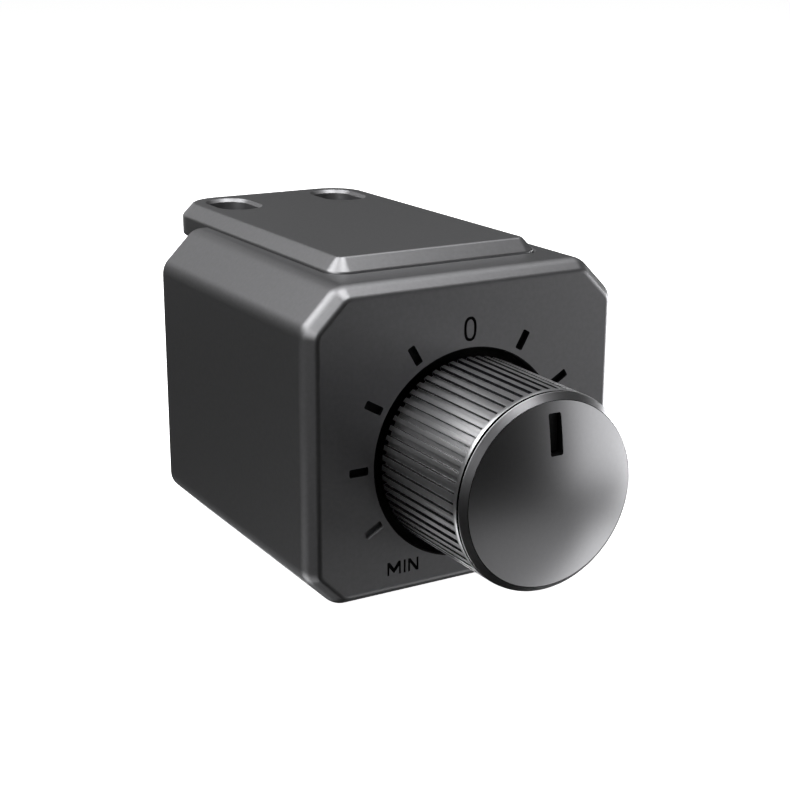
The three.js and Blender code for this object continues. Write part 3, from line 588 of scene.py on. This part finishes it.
def letter_outlines(letter, w, h, s):
    """A letter's closed strokes, w wide and h tall, with strokes about s thick."""
    if letter == "I":
        return [[(0, 0), (s, 0), (s, h), (0, h)]]
    if letter == "M":
        low, lean = 0.12 * h, 1.25 * s
        rise = 2.6 * s
        return [[(0, 0), (s, 0), (s, h - rise), (w / 2, low), (w - s, h - rise), (w - s, 0), (w, 0), (w, h),
                 (w - lean, h), (w / 2, low + rise), (lean, h), (0, h)]]
    if letter == "N":
        lean, rise = 1.25 * s, 2.0 * s
        return [[(0, 0), (s, 0), (s, h - rise), (w - lean, 0), (w, 0), (w, h), (w - s, h), (w - s, rise),
                 (lean, h), (0, h)]]
    if letter == "A":
        lean, bar = 1.15 * s, 0.3 * h
        inset = (w / 2 - lean / 2) * bar / h
        return [[(0, 0), (lean, 0), (w / 2, h - 2.4 * s), (w - lean, 0), (w, 0), (w / 2 + lean / 2, h),
                 (w / 2 - lean / 2, h)],
                [(inset + s / 2, bar), (w - inset - s / 2, bar), (w - inset - s / 2, bar + s),
                 (inset + s / 2, bar + s)]]
    lean, rise = 1.25 * s, 1.3 * s
    waist = h / 2
    # What is left is X.
    return [[(0, 0), (lean, 0), (w / 2, waist - rise / 2), (w - lean, 0), (w, 0), (w / 2 + lean / 2, waist),
             (w, h), (w - lean, h), (w / 2, waist + rise / 2), (lean, h), (0, h), (w / 2 - lean / 2, waist)]]


def word_marks(word, start):
    """The cutters of a word's letters, from its left end."""
    cutters, x = [], start
    for letter in word:
        width = LETTER_WIDTHS[letter]
        for outline in letter_outlines(letter, width, LETTER_HEIGHT, LETTER_STROKE):
            moved = [Vector((x + px, WORD_BOTTOM + pz)) for px, pz in outline]
            cutters.append(stamp(moved, MARK_DEPTH, BLACK_PRINT_AND_PAINTED_SHADE))
        x += width + LETTER_GAP
    return cutters


def word_length(word):
    return sum(LETTER_WIDTHS[c] for c in word) + LETTER_GAP * (len(word) - 1)


# ---------------------------------------------------------------- housing

def housing_blank():
    """The hollow housing before its cuts, as one lofted skin from the front to the inside."""
    bevel = rounded_path(
        [(5, FRONT_Y), (FRONT_BEVEL_INSET, FRONT_Y), (0, FRONT_Y + FRONT_BEVEL_DEPTH), (0, BACK_Y),
         (1, BACK_Y)],
        HOUSING_ROUNDING, 7)
    floor_z = SHELL_CUT_Z
    rings = [along_y(housing_outline(p.x), p.y) for p in bevel[1:-1]]
    for inset, y, top in (
        (RIM_WALL, BACK_Y, floor_z - RIM_WALL),
        (RIM_WALL, BACK_Y - REBATE_DEPTH, floor_z - RIM_WALL),
        (WALL, BACK_Y - REBATE_DEPTH, floor_z - SEAT_THICKNESS),
        (WALL, FRONT_Y + FRONT_WALL, floor_z - SEAT_THICKNESS),
    ):
        rings.append(along_y(housing_outline(inset, top), y))
    return as_object("housing_case", loft(rings), [SATIN_PLASTIC])


def pocket_cutter(gap=0.14, depth_gap=0.1, break_edge=0.25):
    """The pocket that the mounting plate is let into, with a softened mouth."""
    top = SHELL_HIGH.z
    sections = [(-gap, PLATE_LOW.z - depth_gap), (-gap, top - break_edge),
                (-gap - break_edge - PAST, top + PAST)]
    rings = [along_z(plate_outline(inset), z) for inset, z in sections]
    return as_object("pocket", loft(rings), [SATIN_PLASTIC])


def dial_cutters():
    """The round recess behind the knob, the shaft's hole, and the ticks and marks round the dial."""
    mouth = 0.12
    floor = FRONT_Y + RECESS_DEPTH
    inside = FRONT_Y + FRONT_WALL + PAST
    recess = turned([(0, FRONT_Y - PAST), (RECESS_RADIUS + mouth + PAST, FRONT_Y - PAST),
                     (RECESS_RADIUS, FRONT_Y + mouth), (RECESS_RADIUS, floor), (BUSHING_HOLE_RADIUS, floor),
                     (BUSHING_HOLE_RADIUS, inside), (0, inside)], 128)
    # The recess behind the knob takes the black on its walls and floor: painted shade.
    cutters = [as_object("recess", recess, [BLACK_PRINT_AND_PAINTED_SHADE]), zero_mark()]
    cutters += [tick(angle) for angle in TICK_ANGLES]
    cutters += word_marks("MIN", -WORD_START)
    cutters += word_marks("MAX", WORD_START - word_length("MAX"))
    return cutters


def make_housing():
    housing = housing_blank()
    carve(housing, [pocket_cutter()] + dial_cutters())
    soften(housing)
    return place(housing, "housing", "satin_plastic", "housing_shell")


# ---------------------------------------------------------------- mounting plate

def slot_cutter(x):
    """One mounting slot with its chamfered mouth."""
    rings = []
    for grow, z in ((0, PLATE_LOW.z - PAST), (0, PLATE_HIGH.z - SLOT_CHAMFER),
                    (SLOT_CHAMFER + PAST, PLATE_HIGH.z + PAST)):
        outline = slot_outline(SLOT_WIDTH + 2 * grow, SLOT_LENGTH + 2 * grow)
        rings.append(along_z([p + Vector((x, 0)) for p in outline], z))
    return as_object("slot", loft(rings), [COATED_METAL])


def make_plate():
    side = rounded_path(
        [(0.8, PLATE_LOW.z), (0, PLATE_LOW.z), (0, PLATE_HIGH.z - PLATE_BEVEL_HEIGHT),
         (PLATE_BEVEL_INSET, PLATE_HIGH.z), (3, PLATE_HIGH.z)],
        PLATE_ROUNDING, 5)
    rings = [along_z(plate_outline(p.x), p.y) for p in side[1:-1]]
    plate = as_object("top_plate", loft(rings), [COATED_METAL])
    carve(plate, [slot_cutter(-SLOT_X), slot_cutter(SLOT_X)])
    soften(plate)
    return place(plate, "housing", "coated_metal", "mounting_plate")


# ---------------------------------------------------------------- rear cover and socket

def middle(node):
    """The middle of a CAD node's box, in X and Z."""
    box_low, box_high = span(node)
    return (box_low.x + box_high.x) / 2, (box_low.z + box_high.z) / 2


def socket_outline(grow, corner):
    """The connector socket's outline in X and Z, moved outwards by grow."""
    low_z, high_z = SOCKET_LOW.z - grow, SOCKET_HIGH.z + grow
    return rounded(box_outline(SOCKET_HIGH.x + grow, low_z, high_z), corner, 5)


def make_cover():
    """The rear cover, with a rounded rear edge, a mouth for the socket and sunk seats for its screws."""
    top = SHELL_CUT_Z - RIM_WALL - COVER_GAP
    side = rounded_path([(3, COVER_LOW.y), (0, COVER_LOW.y), (0, BACK_Y), (3, BACK_Y)], COVER_ROUNDING, 5)
    rings = [along_y(housing_outline(RIM_WALL + COVER_GAP + p.x, top - p.x), p.y) for p in side[1:-1]]
    cover = as_object("back_cover", loft(rings), [SATIN_PLASTIC])
    window = [along_y(socket_outline(grow, 0.8 + grow), y) for grow, y in
              ((0.1, COVER_LOW.y - PAST), (0.1, BACK_Y - 0.3), (0.4 + PAST, BACK_Y + PAST))]
    cutters = [as_object("window", loft(window), [SATIN_PLASTIC])]
    for i in range(COVER_SCREWS):
        x, z = middle(f"cover_screw_{i + 1}")
        seat = turned([(0, COVER_LOW.y - PAST), (SEAT_HOLE_RADIUS, COVER_LOW.y - PAST),
                       (SEAT_HOLE_RADIUS, BACK_Y - SEAT_DEPTH), (SEAT_RADIUS, BACK_Y - SEAT_DEPTH),
                       (SEAT_RADIUS, BACK_Y - 0.2), (SEAT_RADIUS + 0.2 + PAST, BACK_Y + PAST),
                       (0, BACK_Y + PAST)], 48, x, z)
        cutters.append(as_object("seat", seat, [SATIN_PLASTIC]))
    carve(cover, cutters)
    soften(cover)
    return place(cover, "housing", "satin_plastic", "rear_cover")


def make_screw(name, node):
    """A pan-head screw along Y with a cross recess, its head at the back."""
    material = SLOT_MATERIALS["black_steel"]
    box_low, box_high = span(node)
    x, z = middle(node)
    tip, head_back = box_low.y, box_high.y
    head_front = head_back - SCREW_HEAD_HEIGHT
    head = rounded_path([(0, head_back), (SCREW_HEAD_RADIUS, head_back), (SCREW_HEAD_RADIUS, head_front),
                         (SCREW_SHANK_RADIUS, head_front)], [0.7, 0.1], 6)
    shank = [(SCREW_SHANK_RADIUS, tip + SCREW_TIP_LENGTH), (SCREW_TIP_RADIUS, tip), (0, tip)]
    screw = as_object(name, turned([(p.x, p.y) for p in head] + shank, 48, x, z), [material])
    cross = []
    for long, narrow in ((CROSS_LONG, CROSS_NARROW), (CROSS_NARROW, CROSS_LONG)):
        rings = []
        for taper, y in ((0.62, head_back - CROSS_DEPTH), (1.1, head_back + 0.1)):
            arm = [Vector((x + px * taper, z + pz * taper)) for px, pz in box_outline(long, -narrow, narrow)]
            rings.append(along_y(arm, y))
        cross.append(as_object("cross", loft(rings), [material]))
    carve(screw, cross)
    soften(screw, 34)
    return place(screw, "housing", "black_steel", node)


def make_socket():
    """The shrouded socket: a rounded mouth with a keyway, and a floor for the contact pins."""
    wall = SOCKET_WALL
    outer = rounded_path([(3, SOCKET_LOW.y), (0, SOCKET_LOW.y), (0, SOCKET_HIGH.y), (wall, SOCKET_HIGH.y)],
                         [0.15, 0.2], 4)
    rings = [along_y(socket_outline(-p.x, SOCKET_CORNER - min(p.x, 0.6)), p.y) for p in outer[1:-1]]
    floor_y = SOCKET_HIGH.y - SOCKET_DEPTH
    for grow, y in ((-wall + 0.2, SOCKET_HIGH.y), (-wall, SOCKET_HIGH.y - 0.35), (-wall, floor_y)):
        rings.append(along_y(socket_outline(grow, 0.4), y))
    socket = as_object("plug_socket", loft(rings), [BLACK_PLASTIC])
    keyway = box_outline(KEYWAY_HALF_WIDTH, SOCKET_HIGH.z - wall - 0.5, SOCKET_HIGH.z - wall / 2)
    key = [along_y([Vector(c) for c in keyway], y)
           for y in (SOCKET_HIGH.y - KEYWAY_LENGTH, SOCKET_HIGH.y + PAST)]
    cutters = [as_object("key", loft(key), [BLACK_PLASTIC])]
    for i in range(CONTACT_PINS):
        x, z = middle(f"contact_pin_{i + 1}")
        corners = box_outline(PIN_HOLE_HALF, -PIN_HOLE_HALF, PIN_HOLE_HALF)
        square = [Vector((x + px, z + pz)) for px, pz in corners]
        hole = [along_y(square, y) for y in (SOCKET_LOW.y - PAST, floor_y + PAST)]
        cutters.append(as_object("hole", loft(hole), [BLACK_PLASTIC]))
    carve(socket, cutters)
    soften(socket)
    return place(socket, "housing", "black_plastic", "connector_socket")


# ---------------------------------------------------------------- knob

def flute_section():
    """One pitch of the fluted section: (distance along the surface from the groove's middle, depth)."""
    half, edge, fillet = FLUTE_WIDTH / 2, 0.05, 0.06
    side = [(half - fillet, FLUTE_DEPTH), (half - 0.02, FLUTE_DEPTH - fillet), (half, edge),
            (half + 0.3 * edge, 0.3 * edge), (half + edge, 0)]
    land_middle = math.pi * KNOB_RADIUS / FLUTE_COUNT
    return [(-d, z) for d, z in reversed(side)] + side + [(land_middle, 0)]


def barrel_radius(y):
    """The barrel's radius over its lands at y, measured from the front face."""
    return KNOB_RADIUS + BARREL_TAPER * (y - CAP_EDGE_Y) / -CAP_EDGE_Y


def barrel_ring(radius, y, cut):
    """One ring of the knob's barrel, with its flutes cut to the share given."""
    ring = []
    for i in range(FLUTE_COUNT):
        groove = 2 * math.pi * (i + 0.5) / FLUTE_COUNT
        for along, depth in flute_section():
            angle = groove + along / KNOB_RADIUS
            r = radius - depth * cut
            ring.append(Vector((r * math.sin(angle), FRONT_Y + y, AXIS_Z + r * math.cos(angle))))
    return ring


def make_barrel():
    """The fluted barrel: a seat for the cap, a bore for the hub, and a hollow skirt behind."""
    front, back = CAP_EDGE_Y + CAP_GAP, BARREL_HIGH.y - FRONT_Y
    rows = [(SPIGOT_HOLE_RADIUS, SPIGOT_BACK_Y + 0.1, 0), (SPIGOT_HOLE_RADIUS, front, 0)]
    edge = rounded_path([(9, front), (barrel_radius(front), front), (barrel_radius(-5), -5)], [0.05], 3)
    rows += [(p.x, p.y, 0) for p in edge[1:-1]]
    ends = [(FLUTE_FRONT_Y - 0.06, 0), (FLUTE_FRONT_Y, 0.12), (FLUTE_FRONT_Y + 0.02, 0.85),
            (FLUTE_FRONT_Y + 0.1, 1), (back - 0.2, 1)]
    rows += [(barrel_radius(y), y, share) for y, share in ends]
    rows += [(barrel_radius(back) - 0.15, back, 1)]
    rows += [(CAVITY_RADIUS, back, 0), (CAVITY_RADIUS, HUB_BACK_Y, 0), (HUB_BORE_RADIUS, HUB_BACK_Y, 0),
             (HUB_BORE_RADIUS, HUB_FRONT_Y, 0)]
    skin = loft([barrel_ring(*row) for row in rows])
    # The flutes' side walls, and the bore and front face where the cap sits, take the dark metal: painted
    # shade in the grooves and in the joint.
    for f in skin.faces:
        radii = [math.hypot(v.co.x, v.co.z - AXIS_Z) for v in f.verts]
        depths = [v.co.y - FRONT_Y for v in f.verts]
        is_wall = max(radii) - min(radii) > FLUTE_DEPTH / 2 and max(depths) - min(depths) > 1
        is_joint = max(depths) < front + HAIR
        if min(radii) > SPIGOT_RADIUS and (is_wall or is_joint):
            f.material_index = 1
    barrel = as_object("knob_barrel", skin, [BARREL_METAL, PAINTED_SHADE_METAL])
    soften(barrel)
    return place(barrel, "knob", "knob_metal", "knob_body")


def dome_y(radius):
    """Where the domed face lies, measured from the front face."""
    return FACE_EDGE_Y - DOME_HEIGHT * (1 - (radius / FACE_RADIUS) ** 2)


def pointer_outline(grow):
    corners = box_outline(POINTER_WIDTH / 2 + grow, POINTER_INNER - grow, POINTER_OUTER + grow)
    return rounded(corners, POINTER_CORNER + grow, 5)


def make_cap():
    """The domed face with its bevelled rim, its pointer's well and the spigot behind."""
    rings = 26
    lip = FACE_RADIUS - RIM_LINE
    face = [(lip * i / rings, dome_y(lip * i / rings)) for i in range(rings + 1)]
    rim = rounded_path([(FACE_RADIUS, FACE_EDGE_Y), (KNOB_RADIUS, CAP_EDGE_Y), (SPIGOT_RADIUS, CAP_EDGE_Y),
                        (SPIGOT_RADIUS, SPIGOT_BACK_Y), (0, SPIGOT_BACK_Y)], [0.04, 0, 0], 3)
    line = [(lip + 0.02, FACE_EDGE_Y + RIM_LINE), (FACE_RADIUS - 0.02, FACE_EDGE_Y + RIM_LINE)]
    profile = face + line + [(p.x, p.y) for p in rim]
    blank = turned([(r, FRONT_Y + y) for r, y in profile], 180)
    # The fine line's groove and the cap's faces in the joint behind its bevel take the black: painted shade.
    for f in blank.faces:
        radii = [math.hypot(v.co.x, v.co.z - AXIS_Z) for v in f.verts]
        in_line = lip - HAIR < min(radii) and max(radii) < FACE_RADIUS + HAIR
        in_joint = min(v.co.y for v in f.verts) > FRONT_Y + CAP_EDGE_Y - HAIR
        if in_line or in_joint:
            f.material_index = 1
    cap = as_object("knob_face", blank, [KNOB_METAL, BLACK_PRINT_AND_PAINTED_SHADE])
    floor = dome_y(POINTER_OUTER) + POINTER_DEPTH
    well = [along_y([p + Vector((0, AXIS_Z)) for p in pointer_outline(0)], FRONT_Y + y)
            for y in (dome_y(0) - PAST, floor)]
    carve(cap, [as_object("well", loft(well), [BLACK_PRINT_AND_PAINTED_SHADE])])
    soften(cap, 14)
    return place(cap, "knob", "knob_metal", "knob_cap")


def make_pointer():
    floor = dome_y(POINTER_OUTER) + POINTER_DEPTH
    rings = []
    for grow, y in ((-INLAY_GAP, floor - 0.02), (-INLAY_GAP, floor - INLAY_THICKNESS + INLAY_EDGE),
                    (-INLAY_GAP - INLAY_EDGE, floor - INLAY_THICKNESS)):
        rings.append(along_y([p + Vector((0, AXIS_Z)) for p in pointer_outline(grow)], FRONT_Y + y))
    pointer = as_object("pointer_fill", loft(rings), [SLOT_MATERIALS["pointer_black"]])
    soften(pointer)
    return place(pointer, "knob", "pointer_black", "pointer_inlay")


# ---------------------------------------------------------------- stage

def make_camera():
    azimuth, elevation, roll = (math.radians(a) for a in (CAMERA_AZIMUTH, CAMERA_ELEVATION, CAMERA_ROLL))
    ahead = Vector((-math.sin(azimuth) * math.cos(elevation), math.cos(azimuth) * math.cos(elevation),
                    -math.sin(elevation)))
    level = ahead.cross(Vector((0, 0, 1))).normalized()
    upright = level.cross(ahead)
    right = level * math.cos(roll) + upright * math.sin(roll)
    up = upright * math.cos(roll) - level * math.sin(roll)
    camera = bpy.data.objects.new("camera", bpy.data.cameras.new("camera"))
    bpy.context.scene.collection.objects.link(camera)
    turn = Matrix((right, up, -ahead)).transposed()
    camera.matrix_world = Matrix.Translation(CAMERA_PLACE) @ turn.to_4x4()
    camera.data.sensor_width = SENSOR_WIDTH
    camera.data.lens = CAMERA_LENS
    camera.data.clip_start = 0.01
    camera.data.clip_end = 50
    bpy.context.scene.camera = camera


def make_floor():
    """A plain pale floor under the unit, lit by its own glow."""
    bm = bmesh.new()
    bmesh.ops.create_grid(bm, x_segments=1, y_segments=1, size=FLOOR_HALF_WIDTH)
    floor = as_object("floor", bm)
    floor.location.z = CAD_BOX[0].z
    look = Look("floor_white", (0.9, 0.9, 0.9), 0.8, Specular_IOR_Level=0.0)
    look.shader.inputs["Emission Color"].default_value = (1, 1, 1, 1)
    look.shader.inputs["Emission Strength"].default_value = FLOOR_GLOW
    floor.data.materials.append(look.material)
    floor.visible_diffuse = floor.visible_glossy = floor.visible_shadow = False


def make_world():
    """White behind everything, with the light itself left to the soft boxes."""
    world = bpy.data.worlds.new("studio")
    world.use_nodes = True
    nodes, links = world.node_tree.nodes, world.node_tree.links
    background = nodes["Background"]
    background.inputs["Color"].default_value = (1, 1, 1, 1)
    path = nodes.new("ShaderNodeLightPath")
    links.new(path.outputs["Is Camera Ray"], background.inputs["Strength"])
    bpy.context.scene.world = world


def soft_box(name, azimuth, elevation, power):
    """A square soft box. Azimuth runs round the unit from the driver's side towards +X, in degrees."""
    a, e = math.radians(azimuth), math.radians(elevation)
    direction = Vector((math.sin(a) * math.cos(e), -math.cos(a) * math.cos(e), math.sin(e)))
    data = bpy.data.lights.new(name, "AREA")
    data.shape = "SQUARE"
    data.size = SOFT_BOX_SIDE
    data.energy = power
    light = bpy.data.objects.new(name, data)
    light.location = SOFT_BOX_AIM + direction * SOFT_BOX_DISTANCE
    light.rotation_mode = "QUATERNION"
    light.rotation_quaternion = (-direction).to_track_quat("-Z", "Y")
    bpy.context.scene.collection.objects.link(light)


def make_lights():
    # From above: the plate's top, the bevels, and the bright upper flutes.
    soft_box("overhead", 0, 80, 2)
    soft_box("upper_left_rear", -120, 50, 1.8)
    soft_box("upper_left", -75, 30, 1)
    soft_box("upper_right_rear", 120, 60, 0.4)
    # From the sides and below: the knob's face, bright at its right, and the lower chamfers.
    soft_box("right", 90, -10, 2.5)
    soft_box("front_right", 55, 0, 0.3)
    soft_box("low_right", 70, -45, 0.4)
    soft_box("low_front", 20, -40, 0.07)
    soft_box("low_left", -120, -50, 0.8)
    # From behind: the rear cover and its socket.
    soft_box("rear_left", 180, 10, 0.2)
    soft_box("rear_right", 150, -20, 0.8)


bpy.context.scene.view_settings.view_transform = "Standard"
make_camera()
make_floor()
make_world()
make_lights()

# ---------------------------------------------------------------- the unit

dress_cad_nodes()
make_housing()
make_plate()
make_cover()
for number in range(1, COVER_SCREWS + 1):
    make_screw(f"back_screw_{number}", f"cover_screw_{number}")
make_socket()
make_barrel()
make_cap()
make_pointer()
